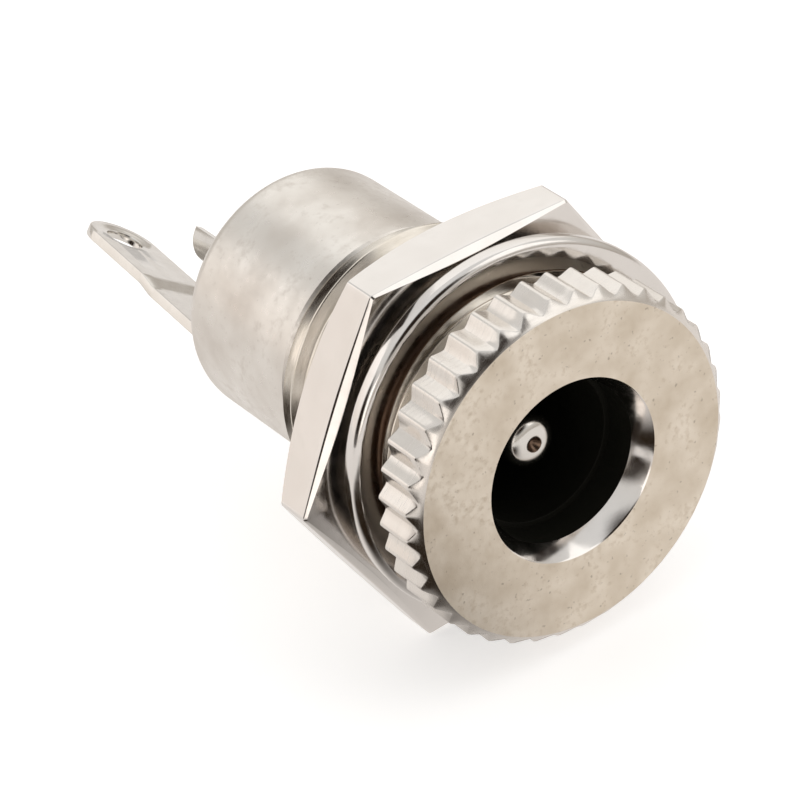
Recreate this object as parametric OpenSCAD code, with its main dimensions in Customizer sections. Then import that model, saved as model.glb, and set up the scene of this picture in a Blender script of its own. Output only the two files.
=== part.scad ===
// Panel-mount DC barrel jack: a turned, plated shell that screws to a panel from the front,
// with a black socket liner, a centre pin ending in a solder cup, a ground tab, and its
// own split washer and hexagon nut.
//
// Millimetres, +Z up. The socket's axis is Y. The mouth faces -Y and the terminals point
// to +Y. The origin is on the axis, on the back face of the head, which seats on the panel.
// Angles round the axis are measured from +X towards +Z, as someone facing the mouth sees them.

/* [Head] */
// Diameter over the crests of the knurl
head_d = 13.6; // [13.2:0.1:14.4]
// Thickness of the head, from its front face to the panel seat
head_t = 2.1; // [1.8:0.1:2.8]
// Width of the 45 degree chamfer between the front face and the knurl
head_chamfer = 0.42; // [0.35:0.01:0.6]
// Angle of the first flute
first_flute = 2; // [0:0.5:9]
// Number of flutes round the knurl
flutes = 40; // [32:2:48]
// Depth of a flute below the crests
flute_depth = 0.3; // [0.2:0.02:0.34]
// Width left on top of each crest between two flutes
crest_land = 0.2; // [0.12:0.02:0.3]

/* [Socket] */
// Diameter of the mouth at the front face
mouth_d = 7; // [6.8:0.1:7.6]
// Depth of the bright cone inside the mouth
mouth_depth = 0.8; // [0.5:0.1:1.2]
// Diameter of the liner's entry land, which guides the plug
entry_d = 6.2; // [6:0.1:6.6]
// Length of the entry land
entry_len = 1.3; // [1:0.1:1.6]
// Amount by which the bore behind the entry land is narrower, on the radius
entry_step = 0.2; // [0.2:0.05:0.3]
// Depth of the socket's floor behind the front face
socket_depth = 11; // [10:0.5:12]
// Wall of the liner round the sleeve contact
liner_wall = 0.9; // [0.8:0.05:1]

/* [Centre pin] */
// Diameter of the centre pin
pin_d = 2; // [1.9:0.05:2.5]
// Amount by which the shank behind the socket's floor is thicker, on the radius
shank_step = 0.25; // [0.2:0.05:0.35]
// Distance of the pin's tip behind the entry land
pin_setback = 0.2; // [0.1:0.05:0.5]
// Length of the rounded stretch at the tip
pin_round = 0.45; // [0.3:0.05:0.6]
// Diameter of the lathe dimple in the tip
dimple_d = 0.6; // [0.4:0.1:0.8]

/* [Sleeve contact] */
// Thickness of the contact's spring sheet
spring_t = 0.3; // [0.3:0.05:0.35]
// Distance of the contact's front end behind the front face
spring_front = 7; // [6.6:0.1:7.4]
// Inner diameter at the waist, where the contact grips the plug
waist_d = 5.4; // [5.2:0.1:5.5]
// Distance of the waist behind the contact's front end
waist_at = 1.5; // [1.2:0.1:2]
// Length of the fingers
finger_len = 4; // [3:0.1:5]
// Number of spring fingers
fingers = 6; // [4:1:8]
// Width of the slots between the fingers
slot_w = 0.5; // [0.3:0.1:0.8]

/* [Barrel] */
// Outer diameter of the threaded barrel
thread_d = 11; // [10.8:0.1:11.4]
// Diameter of the relief behind the head
relief_d = 10; // [9.8:0.1:10.2]
// Width of the relief
relief_w = 0.8; // [0.6:0.1:1.2]
// Length of the thread behind the relief
thread_len = 7.6; // [7:0.1:9]
// Width of the 45 degree chamfer at each end of the thread
thread_chamfer = 0.35; // [0.2:0.05:0.4]

/* [Rear body] */
// Diameter of the smooth body behind the thread
body_d = 9.8; // [9.6:0.1:10.2]
// Length of the smooth body, from the thread's end to the rolled lip
body_len = 7.1; // [6.5:0.1:9]
// Width of the groove between thread and body
groove_w = 0.35; // [0.2:0.05:0.6]
// Depth of the groove below the body
groove_depth = 0.25; // [0.1:0.05:0.4]
// Radius of the rolled rear edge
roll_r = 0.75; // [0.4:0.05:0.8]
// Inner diameter of the rolled lip
lip_d = 8; // [7.9:0.05:8.1]
// Length of the lip behind the contact disc
lip_len = 1; // [0.6:0.1:1.4]

/* [Ground tab] */
// Thickness of the disc and its tab
sheet_t = 0.4; // [0.3:0.05:0.5]
// Width of the tab
tab_w = 3; // [2.6:0.1:3.1]
// Distance of the tab's middle from the axis where it leaves the disc
tab_offset = 3.5; // [3.2:0.1:3.5]
// Direction of the tab from the axis
tab_angle = 233.5; // [180:0.5:300]
// Length of the tab behind the rolled lip
tab_len = 12.1; // [10:0.1:14]
// Inward lean of the tab, in millimetres for each millimetre of length
tab_lean = 0.085; // [0:0.005:0.1]
// Distance of the tab's joggle behind the rolled lip
joggle_at = 6; // [4.5:0.1:7.5]
// Step of the tab towards the axis at the joggle
joggle = 0.2; // [0:0.05:0.3]
// Length of the stretch that makes the step
joggle_len = 0.8; // [0.5:0.1:1.2]
// Diameter of the wire hole
tab_hole_d = 1.5; // [1.2:0.1:1.8]

/* [Rear bush] */
// Diameter of the boss that passes through the disc
boss_d = 4.7; // [4.4:0.1:4.9]
// Height of the boss above the rolled lip
boss_proud = 0.2; // [0:0.05:0.5]
// Wall of the bush's nose round the pin
nose_wall = 0.4; // [0.3:0.05:0.5]
// Length of the nose behind the boss
nose_len = 1.5; // [1.2:0.1:2]

/* [Solder cup] */
// Amount by which the pin's collar stands out from its shank
collar_rim = 0.2; // [0.15:0.05:0.3]
// Thickness of the collar
collar_t = 0.5; // [0.4:0.05:0.7]
// Outer diameter of the cup
cup_d = 2.4; // [2.3:0.1:2.6]
// Diameter of the cup's bore
cup_bore_d = 1.7; // [1.5:0.1:1.8]
// Length of the cup behind the collar
cup_len = 3.1; // [2.6:0.1:3.6]
// Depth of the cup's bore in front of the open half
cup_well = 1.2; // [0.8:0.1:1.6]

/* [Split washer] */
// Outer diameter of the washer
washer_d = 13.9; // [13.7:0.1:14.2]
// Inner diameter of the washer
washer_bore_d = 11.7; // [11.6:0.1:12]
// Thickness of the washer's wire
washer_t = 0.85; // [0.7:0.05:0.9]
// Rise of the free washer over one turn, left-handed
washer_rise = 1.2; // [1:0.05:1.4]
// Direction of the split's front end
split_angle = 12; // [0:1:359]
// Angle that the split leaves open
split_gap = 3; // [2:0.5:8]
// Gap between the head and the washer
washer_gap = 0.5; // [0.5:0.05:0.9]
// Distance of the washer's centre from the axis, as it hangs on the thread
washer_shift = 0.15; // [0:0.05:0.2]
// Direction of that shift
shift_angle = 40; // [0:5:355]

/* [Nut] */
// Distance across the nut's flats
nut_af = 14.5; // [14:0.1:15]
// Thickness of the nut
nut_t = 2; // [1.6:0.1:2.2]
// Gap between the washer and the nut
nut_gap = 0.09; // [0.05:0.01:0.3]
// Running clearance of the nut on the barrel, on the radius
nut_clearance = 0.05; // [0.02:0.01:0.1]
// Diameter of the circle that the chamfer leaves on the nut's rear face
nut_chamfer_d = 14.1; // [13.6:0.1:14.4]
// Width of the narrow bevel round the nut's front face
nut_bevel = 0.18; // [0.1:0.02:0.3]
// Width of the countersink at each end of the nut's hole
nut_countersink = 0.4; // [0.2:0.05:0.5]

/* [Hidden] */
$fn = 64;

nickel = "#cfc9bf";
bright_nickel = "#dcd8d2";
liner_black = "#25241f";
bush_grey = "#5a554c";

// Small allowances
cut_over = 1;
slip = 0.05;
edge_break = 0.1;
arc_steps = 5;
washer_edge = 0.12;
cup_offset = 0.1;
cutter_ratio = 0.55;
boss_round = 0.3;
nose_step = 0.2;
well_taper = 0.4;
nut_chamfer_angle = 30;

// Places along the axis, rearwards from the panel seat
face_y = -head_t;
liner_y = face_y + mouth_depth;
land_end_y = liner_y + entry_len;
pin_tip_y = land_end_y + pin_setback;
floor_y = face_y + socket_depth;
spring_y = face_y + spring_front;
thread_end_y = relief_w + thread_len;
lip_y = thread_end_y + body_len;
disc_back_y = lip_y - lip_len;
disc_y = disc_back_y - sheet_t;
flange_y = disc_y - spring_t;
boss_end_y = lip_y + boss_proud;
nose_end_y = boss_end_y + nose_len;
cup_y = nose_end_y + collar_t;
cup_end_y = cup_y + cup_len;
tab_end_y = lip_y + tab_len;
joggle_y = lip_y + joggle_at;
nut_y = washer_gap + washer_rise + washer_t + nut_gap;

// Radii that several pieces share
head_r = head_d / 2;
entry_r = entry_d / 2;
bore_r = entry_r - entry_step;
pocket_r = bore_r + spring_t + 2 * slip;
liner_r = pocket_r + liner_wall;
pin_r = pin_d / 2;
shank_r = pin_r + shank_step;
collar_r = shank_r + collar_rim;
nose_r = shank_r + nose_wall;
body_r = body_d / 2;
lip_r = lip_d / 2;
boss_r = boss_d / 2;
thread_r = thread_d / 2;

// Turns a shape built along +Z so that it runs rearwards along +Y
module rearwards() {
    rotate([-90, 0, 0]) children();
}

// Turns a shape built on the +X side to an angle round the socket's axis
module turned_to(angle) {
    rotate([0, -angle, 0]) children();
}

// A solid of revolution about the socket's axis, from [radius, y] points
module lathe(outline) {
    rearwards() rotate_extrude() polygon(outline);
}

// Points on an arc of an outline, both ends included
function arc(centre, radius, from, to) =
    [for (i = [0:arc_steps])
        let (a = from + (to - from) * i / arc_steps)
        centre + radius * [cos(a), sin(a)]];

// ---- Shell ----

// Flutes of the knurl: round cuts parallel to the axis that leave a narrow land between them
module knurl_flutes() {
    pitch = PI * head_d / flutes;
    half_width = (pitch - crest_land) / 2;
    flute_r = (half_width ^ 2 + flute_depth ^ 2) / (2 * flute_depth);
    for (i = [0:flutes - 1])
        turned_to(first_flute + i * 360 / flutes)
            translate([head_r - flute_depth + flute_r, face_y - cut_over, 0])
                rearwards() cylinder(r = flute_r, h = head_t + 2 * cut_over, $fn = 24);
}

module shell() {
    roll = min(roll_r, body_r - lip_r - edge_break);
    groove_end_y = thread_end_y + groove_w;
    outside = concat(
        [[mouth_d / 2, face_y],
         [head_r - head_chamfer, face_y],
         [head_r, face_y + head_chamfer],
         [head_r, -edge_break],
         [head_r - edge_break, 0],
         [relief_d / 2, 0],
         [relief_d / 2, relief_w],
         [thread_r - thread_chamfer, relief_w],
         [thread_r, relief_w + thread_chamfer],
         [thread_r, thread_end_y - thread_chamfer],
         [thread_r - thread_chamfer, thread_end_y],
         [body_r - groove_depth, thread_end_y],
         [body_r - groove_depth, groove_end_y],
         [body_r - edge_break, groove_end_y],
         [body_r, groove_end_y + edge_break]],
        arc([body_r - roll, lip_y - roll], roll, 0, 90));
    inside = [
        [lip_r, lip_y],
        [lip_r, disc_back_y],
        [liner_r, disc_back_y],
        [liner_r, liner_y],
        [entry_r, liner_y]];
    color(nickel) difference() {
        lathe(concat(outside, inside));
        knurl_flutes();
    }
}

// ---- Socket liner ----

// The liner opens into a pocket for the sleeve contact, behind a short lead-in
module socket_liner() {
    pocket_y = spring_y - 4 * slip;
    color(liner_black) lathe([
        [entry_r, liner_y],
        [liner_r, liner_y],
        [liner_r, flange_y],
        [pocket_r, flange_y],
        [pocket_r, pocket_y],
        [bore_r, pocket_y],
        [bore_r, land_end_y],
        [entry_r, land_end_y]]);
}

// ---- Centre pin and solder cup ----

// The half of the cup that is milled away, with the round run-out that the cutter leaves
module cup_opening() {
    cutter_r = cup_d * cutter_ratio;
    turned_to(tab_angle + 180)
        translate([cup_offset, 0, 0]) {
            translate([0, cup_y + cutter_r + edge_break, -cup_d])
                cube([cup_d, cup_len + cut_over, 2 * cup_d]);
            translate([cutter_r, cup_y + cutter_r + edge_break, -cup_d])
                cylinder(r = cutter_r, h = 2 * cup_d);
        }
}

module centre_pin() {
    dimple_r = dimple_d / 2;
    tip_flat = dimple_r + edge_break;
    corner = pin_r - tip_flat;
    tip = [for (i = [0:arc_steps])
        let (a = 90 * i / arc_steps)
        [tip_flat + corner * sin(a), pin_tip_y + pin_round * (1 - cos(a))]];
    shank = [
        [pin_r, floor_y],
        [shank_r, floor_y],
        [shank_r, nose_end_y],
        [collar_r - edge_break, nose_end_y],
        [collar_r, nose_end_y + edge_break],
        [collar_r, cup_y - edge_break],
        [cup_d / 2, cup_y],
        [cup_d / 2, cup_end_y - edge_break],
        [cup_d / 2 - edge_break, cup_end_y],
        [cup_bore_d / 2, cup_end_y],
        [cup_bore_d / 2, cup_y - cup_well + well_taper],
        [0, cup_y - cup_well]];
    color(nickel) difference() {
        lathe(concat([[0, pin_tip_y + dimple_r], [dimple_r, pin_tip_y]], tip, shank));
        cup_opening();
    }
}

// ---- Sleeve contact ----

// Spring fingers narrow to a waist that grips the plug, and a flange carries the
// current to the disc of the ground tab
module sleeve_contact() {
    waist_y = spring_y + waist_at;
    finger_end_y = spring_y + finger_len;
    root_y = finger_end_y - slot_w;
    color(bright_nickel) difference() {
        lathe([
            [bore_r - edge_break, spring_y],
            [bore_r - edge_break + spring_t, spring_y],
            [waist_d / 2 + spring_t, waist_y],
            [bore_r + spring_t, root_y],
            [bore_r + spring_t, flange_y],
            [liner_r - slip, flange_y],
            [liner_r - slip, disc_y],
            [bore_r, disc_y],
            [bore_r, root_y],
            [waist_d / 2, waist_y]]);
        for (i = [0:fingers - 1])
            turned_to(i * 360 / fingers)
                translate([0, spring_y - cut_over, -slot_w / 2])
                    cube([liner_r, finger_end_y - spring_y + cut_over, slot_w]);
        turned_to(tab_angle)
            translate([0, spring_y - cut_over, -slot_w / 2])
                cube([liner_r, lip_y, slot_w]);
    }
}

// ---- Ground tab ----

// Side view of the tab's middle line, as [distance from the axis, y] points
function tab_line() =
    let (after_joggle = tab_offset - tab_lean * joggle_at - joggle)
    [[tab_offset, disc_y + sheet_t / 2],
     [tab_offset, lip_y],
     [tab_offset - tab_lean * joggle_at, joggle_y],
     [after_joggle, joggle_y + joggle_len],
     [after_joggle - tab_lean * (tab_end_y - joggle_y - joggle_len), tab_end_y]];

// The tab, bent up from the edge of the disc, with its round end and wire hole
module tab() {
    half_t = sheet_t / 2;
    line = tab_line();
    last = len(line) - 1;
    outer = [for (p = line) p + [half_t, 0]];
    inner = [for (i = [last:-1:0]) line[i] - [half_t, 0]];
    hole_y = tab_end_y - tab_w / 2;
    difference() {
        intersection() {
            translate([0, 0, -tab_w / 2])
                linear_extrude(tab_w) polygon(concat(outer, inner));
            union() {
                translate([0, disc_y, -tab_w / 2])
                    cube([2 * liner_r, hole_y - disc_y, tab_w]);
                translate([0, hole_y, 0])
                    rotate([0, 90, 0]) cylinder(d = tab_w, h = 2 * liner_r);
            }
        }
        translate([0, hole_y, 0])
            rotate([0, 90, 0]) cylinder(d = tab_hole_d, h = 2 * liner_r);
    }
}

module ground_tab() {
    color(bright_nickel) union() {
        difference() {
            lathe([
                [boss_r + slip, disc_y],
                [liner_r - slip, disc_y],
                [liner_r - slip, disc_back_y],
                [boss_r + slip, disc_back_y]]);
            turned_to(tab_angle)
                translate([tab_offset + sheet_t / 2, disc_y - cut_over, -liner_r])
                    cube([liner_r, sheet_t + 2 * cut_over, 2 * liner_r]);
        }
        turned_to(tab_angle) tab();
    }
}

// ---- Rear bush ----

// The bush is the socket's floor inside and the insulator round the pin outside
module rear_bush() {
    foot_r = (boss_r + nose_r) / 2;
    foot_end_y = boss_end_y + nose_step + edge_break;
    color(bush_grey) lathe(concat(
        [[shank_r, floor_y],
         [bore_r - slip - edge_break, floor_y],
         [bore_r - slip, floor_y + edge_break],
         [bore_r - slip, disc_y],
         [boss_r, disc_y]],
        arc([boss_r - boss_round, boss_end_y - boss_round], boss_round, 0, 90),
        [[foot_r, boss_end_y],
         [foot_r, boss_end_y + nose_step],
         [foot_r - edge_break, foot_end_y],
         [nose_r, foot_end_y + nose_step],
         [nose_r, nose_end_y - edge_break],
         [nose_r - edge_break, nose_end_y],
         [shank_r, nose_end_y]]));
}

// ---- Split washer ----

// One rectangular section of the washer with its edges broken, at a place along the turn
function washer_section(turn) =
    let (a = split_angle + turn * (360 - split_gap),
         inner = washer_bore_d / 2,
         outer = washer_d / 2,
         front = washer_gap + washer_rise * turn,
         back = front + washer_t,
         b = washer_edge)
    [for (p = [[inner + b, front], [outer - b, front], [outer, front + b], [outer, back - b],
               [outer - b, back], [inner + b, back], [inner, back - b], [inner, front + b]])
        [p[0] * cos(a), p[1], p[0] * sin(a)]];

// A left-hand helix of one turn, cut square at both ends
module split_washer() {
    steps = 72;
    sides = 8;
    points = [for (i = [0:steps]) each washer_section(i / steps)];
    walls = [for (i = [0:steps - 1], j = [0:sides - 1])
        [i * sides + j, i * sides + (j + 1) % sides,
         (i + 1) * sides + (j + 1) % sides, (i + 1) * sides + j]];
    start_cap = [for (j = [0:sides - 1]) sides - 1 - j];
    end_cap = [for (j = [0:sides - 1]) steps * sides + j];
    color(bright_nickel)
        translate(washer_shift * [cos(shift_angle), 0, sin(shift_angle)])
            polyhedron(points, concat(walls, [start_cap, end_cap]), convexity = 4);
}

// ---- Hexagon nut ----

module hex_nut() {
    corner_r = nut_af / sqrt(3);
    hole_r = thread_r + nut_clearance;
    back_y = nut_y + nut_t;
    chamfer_r = nut_chamfer_d / 2;
    chamfer_y = back_y - (corner_r - chamfer_r) * tan(nut_chamfer_angle);
    color(bright_nickel) intersection() {
        translate([0, nut_y, 0])
            rearwards() cylinder(r = corner_r, h = nut_t, $fn = 6);
        lathe([
            [hole_r + nut_countersink, nut_y],
            [corner_r - nut_bevel, nut_y],
            [corner_r, nut_y + nut_bevel],
            [corner_r, chamfer_y],
            [chamfer_r, back_y],
            [hole_r + nut_countersink, back_y],
            [hole_r, back_y - nut_countersink],
            [hole_r, nut_y + nut_countersink]]);
    }
}

shell();
socket_liner();
centre_pin();
sleeve_contact();
ground_tab();
rear_bush();
split_washer();
hex_nut();
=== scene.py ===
"""Looks of a panel-mount DC barrel jack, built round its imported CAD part.

Each sub-assembly is a class that holds its sizes in millimetres, draws its own meshes in the
row frame and dresses them. The socket's axis is Y, the mouth faces -Y, and +Z is up. Turns
run from +Z towards +X, and angles from +X towards +Z.
"""

from __future__ import annotations

import logging
import math
from dataclasses import dataclass, field
from enum import Enum, IntEnum
from typing import Callable, Sequence

import bmesh
import bpy
from mathutils import Matrix, Vector

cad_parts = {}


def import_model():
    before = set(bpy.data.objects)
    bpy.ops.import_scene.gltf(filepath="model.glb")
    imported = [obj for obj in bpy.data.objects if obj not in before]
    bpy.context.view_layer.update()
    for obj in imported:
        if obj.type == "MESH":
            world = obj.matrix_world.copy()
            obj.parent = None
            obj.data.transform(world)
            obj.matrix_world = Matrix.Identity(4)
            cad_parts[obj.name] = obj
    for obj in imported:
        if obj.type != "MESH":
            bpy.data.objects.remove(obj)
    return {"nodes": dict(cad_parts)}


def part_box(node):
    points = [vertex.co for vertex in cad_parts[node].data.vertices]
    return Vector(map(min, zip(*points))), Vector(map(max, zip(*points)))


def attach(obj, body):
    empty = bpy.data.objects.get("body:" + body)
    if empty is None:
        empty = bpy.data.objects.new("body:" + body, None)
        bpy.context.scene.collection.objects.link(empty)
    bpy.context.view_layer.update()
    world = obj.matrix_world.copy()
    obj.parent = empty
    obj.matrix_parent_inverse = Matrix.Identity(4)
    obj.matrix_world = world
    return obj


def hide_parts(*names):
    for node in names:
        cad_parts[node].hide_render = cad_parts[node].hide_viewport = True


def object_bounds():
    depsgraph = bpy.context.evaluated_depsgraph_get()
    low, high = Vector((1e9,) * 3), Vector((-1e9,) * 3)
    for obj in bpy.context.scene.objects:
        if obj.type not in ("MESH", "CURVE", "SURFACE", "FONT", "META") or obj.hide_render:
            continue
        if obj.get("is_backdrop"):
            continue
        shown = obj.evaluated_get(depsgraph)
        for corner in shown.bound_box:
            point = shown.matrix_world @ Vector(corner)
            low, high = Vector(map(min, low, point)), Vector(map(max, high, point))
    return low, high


LOG = logging.getLogger("barrel_jack")
MM = 0.001
WELD = 2e-4
NO_LENGTH = 1e-5
ON_PLANE = 1e-6
SMOOTH_UNDER = math.radians(32)
HALF_TURN, QUARTER, FULL = 180, 90, 360
# Angle between two corners of a hexagon, and half of it
SIXTH, HALF_SIXTH = 60, 30

# Sizes that two sub-assemblies share and that the boxes of the CAD nodes can't give, in mm
ENTRY_R = 3.1
THREAD_R = 5.5
THREAD_DEPTH = 0.46
THREAD_FROM = 0.8
PITCH = 0.75
SHEET_T = 0.4
BOSS_R = 2.35
SHANK_R = 1.25
TAB_ANGLE = 233.5

Point = tuple[float, float]
Colour = tuple[float, float, float, float]
Place = Callable[[float], Point]
Skins = dict[str, bpy.types.Material]


# ---- Meshes ----


@dataclass(frozen=True)
class Ring:
    """One row of a swept surface: its radius and y at each turn, and the skin behind it."""

    place: Place
    skin: int = 0


def fixed(radius: float, y: float, skin: int = 0) -> Ring:
    """A ring that is a plain circle at y, with the skin of the band that follows."""
    return Ring(lambda turn: (radius, y), skin)


def arc(centre: Point, radius: float, start: float, end: float, steps: int) -> list[Point]:
    """Points about a (radius, y) centre, from one angle in degrees to another."""
    angles = (math.radians(start + (end - start) * i / steps) for i in range(steps + 1))
    return [(centre[0] + radius * math.cos(a), centre[1] + radius * math.sin(a)) for a in angles]


def shifted(base: Point, steps: Sequence[Point]) -> list[Point]:
    """Points given by how far in radius and y they are from one place."""
    return [(base[0] + r, base[1] + y) for r, y in steps]


def rows(points: Sequence[Point], skin: int = 0) -> list[Ring]:
    """Plain circles through the (radius, y) points of an outline."""
    return [fixed(r, y, skin) for r, y in points]


def even_turns(steps: int) -> list[float]:
    """Turns from 0 to 1 with that number of even stretches between them."""
    return [i / steps for i in range(steps + 1)]


def spun(count: int, steps: int, closed: bool) -> tuple[bmesh.types.BMesh, list[tuple]]:
    """Spins a column of vertices half a turn, so that each shows its column and row.

    Args:
        count: vertices in the column.
        steps: number of stretches.
        closed: whether the column is a loop.
    Returns:
        The mesh, and (vertex, column, row) for each vertex.
    """
    mesh = bmesh.new()
    column = [mesh.verts.new((0.0, float(i), 1.0)) for i in range(count)]
    edges = [mesh.edges.new(pair) for pair in zip(column, column[1:])]
    if closed:
        edges.append(mesh.edges.new((column[-1], column[0])))
    bmesh.ops.spin(mesh, geom=column + edges, cent=(0, 0, 0), axis=(0, 1, 0), dvec=(0, 0, 0),
                   angle=math.pi, steps=steps, use_merge=False, use_duplicate=False)
    found = [(v, round(abs(math.atan2(v.co.x, v.co.z)) * steps / math.pi), round(v.co.y))
             for v in mesh.verts]
    return mesh, found


def swept(rings: Sequence[Ring], turns: Sequence[float], closed: bool) -> bmesh.types.BMesh:
    """Sweeps rings once round the socket's axis.

    Args:
        rings: the rows, in order along the outline.
        turns: the columns, as turns.
        closed: whether the last ring joins the first.
    Returns:
        A mesh in millimetres, welded, with its normals outwards.
    """
    mesh, found = spun(len(rings), len(turns) - 1, closed)
    last = len(rings) - 1
    for face in mesh.faces:
        used = {round(v.co.y) for v in face.verts}
        wraps = closed and used == {0, last} and last > 1
        face.material_index = rings[last if wraps else min(used)].skin
    for vert, column, row in found:
        radius, y = rings[row].place(turns[column])
        angle = math.tau * turns[column]
        vert.co = (radius * math.sin(angle), y, radius * math.cos(angle))
    return welded(mesh)


def welded(mesh: bmesh.types.BMesh) -> bmesh.types.BMesh:
    """Merges doubled vertices, drops empty faces, closes slits and turns the normals outwards.

    Args:
        mesh: a mesh in millimetres.
    Returns:
        The same mesh.
    """
    bmesh.ops.remove_doubles(mesh, verts=mesh.verts, dist=WELD)
    bmesh.ops.dissolve_degenerate(mesh, edges=mesh.edges, dist=NO_LENGTH)
    bmesh.ops.holes_fill(mesh, edges=[e for e in mesh.edges if e.is_boundary], sides=3)
    bmesh.ops.recalc_face_normals(mesh, faces=mesh.faces)
    return mesh


def piece(name: str, mesh: bmesh.types.BMesh,
          skins: Sequence[bpy.types.Material]) -> bpy.types.Object:
    """Makes an object from a mesh in millimetres.

    Args:
        name: the object's name.
        mesh: the mesh, which is used up.
        skins: its materials, in the order of its material indices.
    Returns:
        The object, at the origin, smooth with sharp edges.
    """
    bmesh.ops.scale(mesh, vec=(MM, MM, MM), verts=mesh.verts)
    for face in mesh.faces:
        face.smooth = True
    data = bpy.data.meshes.new(name)
    mesh.to_mesh(data)
    mesh.free()
    for skin in skins:
        data.materials.append(skin)
    data.set_sharp_from_angle(angle=SMOOTH_UNDER)
    made = bpy.data.objects.new(name, data)
    bpy.context.scene.collection.objects.link(made)
    weighted = made.modifiers.new("weighted", "WEIGHTED_NORMAL")
    weighted.keep_sharp = True
    return made


def at_angle(q: float, y: float, w: float, angle: float) -> Vector:
    """The point q along and w across a direction in degrees, from the axis at y."""
    a = math.radians(angle)
    return Vector((q * math.cos(a) - w * math.sin(a), y, q * math.sin(a) + w * math.cos(a)))


def whole(mesh: bmesh.types.BMesh) -> list:
    """Everything in a mesh, as bisect_plane wants it."""
    return [*mesh.verts, *mesh.edges, *mesh.faces]


@dataclass(frozen=True)
class Thread:
    """A right-hand thread's surface between two ends, as helical rings."""

    start: float
    end: float
    clearance: float = 0.0
    countersink: float = 0.0
    # Place in the pitch and depth below the crest, both as shares
    section: tuple[Point, ...] = (
        (0.04, 0.0), (0.09, 0.08), (0.34, 0.92), (0.40, 1.0), (0.60, 1.0), (0.66, 0.92),
        (0.91, 0.08), (0.96, 0.0))

    def ring(self, count: int, share: float, depth: float, skin: int) -> Ring:
        """One helical row, kept inside the chamfers at the thread's ends.

        Args:
            count: number of the pitch.
            share: place in the pitch, from 0 to 1.
            depth: depth below the crest, as a share of the thread's.
            skin: material index.
        Returns:
            The ring.
        """
        def place(turn: float) -> Point:
            """Works out one point of the row.

            Args:
                turn: direction as a turn.
            Returns:
                Radius and y.
            """
            y = THREAD_FROM + (count + share + turn) * PITCH
            y = min(max(y, self.start), self.end)
            inside = min(y - self.start, self.end - y)
            radius = THREAD_R - THREAD_DEPTH * depth
            if self.clearance:
                flare = THREAD_R + self.clearance + self.countersink - inside
                return max(radius + self.clearance, flare), y
            return min(radius, THREAD_R - THREAD_DEPTH + max(0.0, inside)), y
        return Ring(place, skin)

    def rings(self, skin: int) -> list[Ring]:
        """All rows, from the first end to the second.

        Args:
            skin: material index.
        Returns:
            The rings.
        """
        first = math.floor((self.start - THREAD_FROM) / PITCH) - 1
        last = math.ceil((self.end - THREAD_FROM) / PITCH)
        return [self.ring(n, share, depth, skin)
                for n in range(first, last + 1) for share, depth in self.section]


# ---- Materials ----


def linear(code: str) -> Colour:
    """Turns an sRGB hex colour linear.

    Args:
        code: such as "#c0ffee".
    Returns:
        Red, green, blue and 1.
    """
    parts = [int(code[i:i + 2], 16) / 255 for i in (1, 3, 5)]
    red, green, blue = (p / 12.92 if p <= 0.04045 else ((p + 0.055) / 1.055) ** 2.4 for p in parts)
    return red, green, blue, 1.0


class Grain(Enum):
    """How a surface's fine pattern is stretched along X, Y and Z."""

    EVEN = (1.0, 1.0, 1.0)
    # Tool marks run round the axis, about eight times as long as they are wide
    TURNED = (0.12, 1.0, 0.12)


@dataclass(frozen=True)
class Finish:
    """A surface finish, in sRGB colours and real millimetres."""

    name: str
    colour: str
    second: str
    roughness: float
    grain_mm: float
    blotch_mm: float
    blotch: float
    bump_mm: float
    spread: float = 0.08
    grain: Grain = Grain.EVEN
    metallic: float = 1.0
    pits: float = 0.0
    specular: float = 0.5
    # Dark specks where the plating has pits, a little coarser than real so that they show
    pit_mm: float = 0.17
    pit_colour: str = "#5b4c3a"


def add(tree: bpy.types.NodeTree, kind: str, settings: dict | None = None,
        **values: object) -> bpy.types.Node:
    """Adds a node and fills its inputs.

    Args:
        tree: the node tree.
        kind: the node's type.
        settings: attributes of the node.
        values: inputs by name with _ for a space, or i and a number; a socket is linked.
    Returns:
        The node.
    """
    node = tree.nodes.new(kind)
    for key, value in (settings or {}).items():
        setattr(node, key, value)
    for key, value in values.items():
        numbered = key[0] == "i" and key[1:].isdigit()
        socket = node.inputs[int(key[1:]) if numbered else key.replace("_", " ")]
        if isinstance(value, bpy.types.NodeSocket):
            tree.links.new(value, socket)
        else:
            socket.default_value = value
    return node


# Detail and roughness of each noise, and the stretch of its values that a finish uses
FINE_NOISE, BROAD_NOISE, PIT_NOISE = (3.0, 0.6), (2.0, 0.5), (1.0, 0.4)
SPECK_SPAN, BLOTCH_SPAN, PIT_SPAN = (0.45, 0.80), (0.35, 0.7), (0.71, 0.80)
ROUGH_SPAN = (0.3, 0.7)


def noise(tree: bpy.types.NodeTree, place: bpy.types.NodeSocket, size: float,
          detail: Point) -> bpy.types.NodeSocket:
    """A noise whose grains have a size in mm, with its detail and roughness."""
    return add(tree, "ShaderNodeTexNoise", Vector=place, Scale=1 / size, Detail=detail[0],
               Roughness=detail[1]).outputs["Fac"]


def spanned(tree: bpy.types.NodeTree, value: bpy.types.NodeSocket, span: Point, low: float,
            high: float) -> bpy.types.NodeSocket:
    """A value whose span is mapped to low and high."""
    return add(tree, "ShaderNodeMapRange", Value=value, From_Min=span[0], From_Max=span[1],
               To_Min=low, To_Max=high).outputs["Result"]


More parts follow.
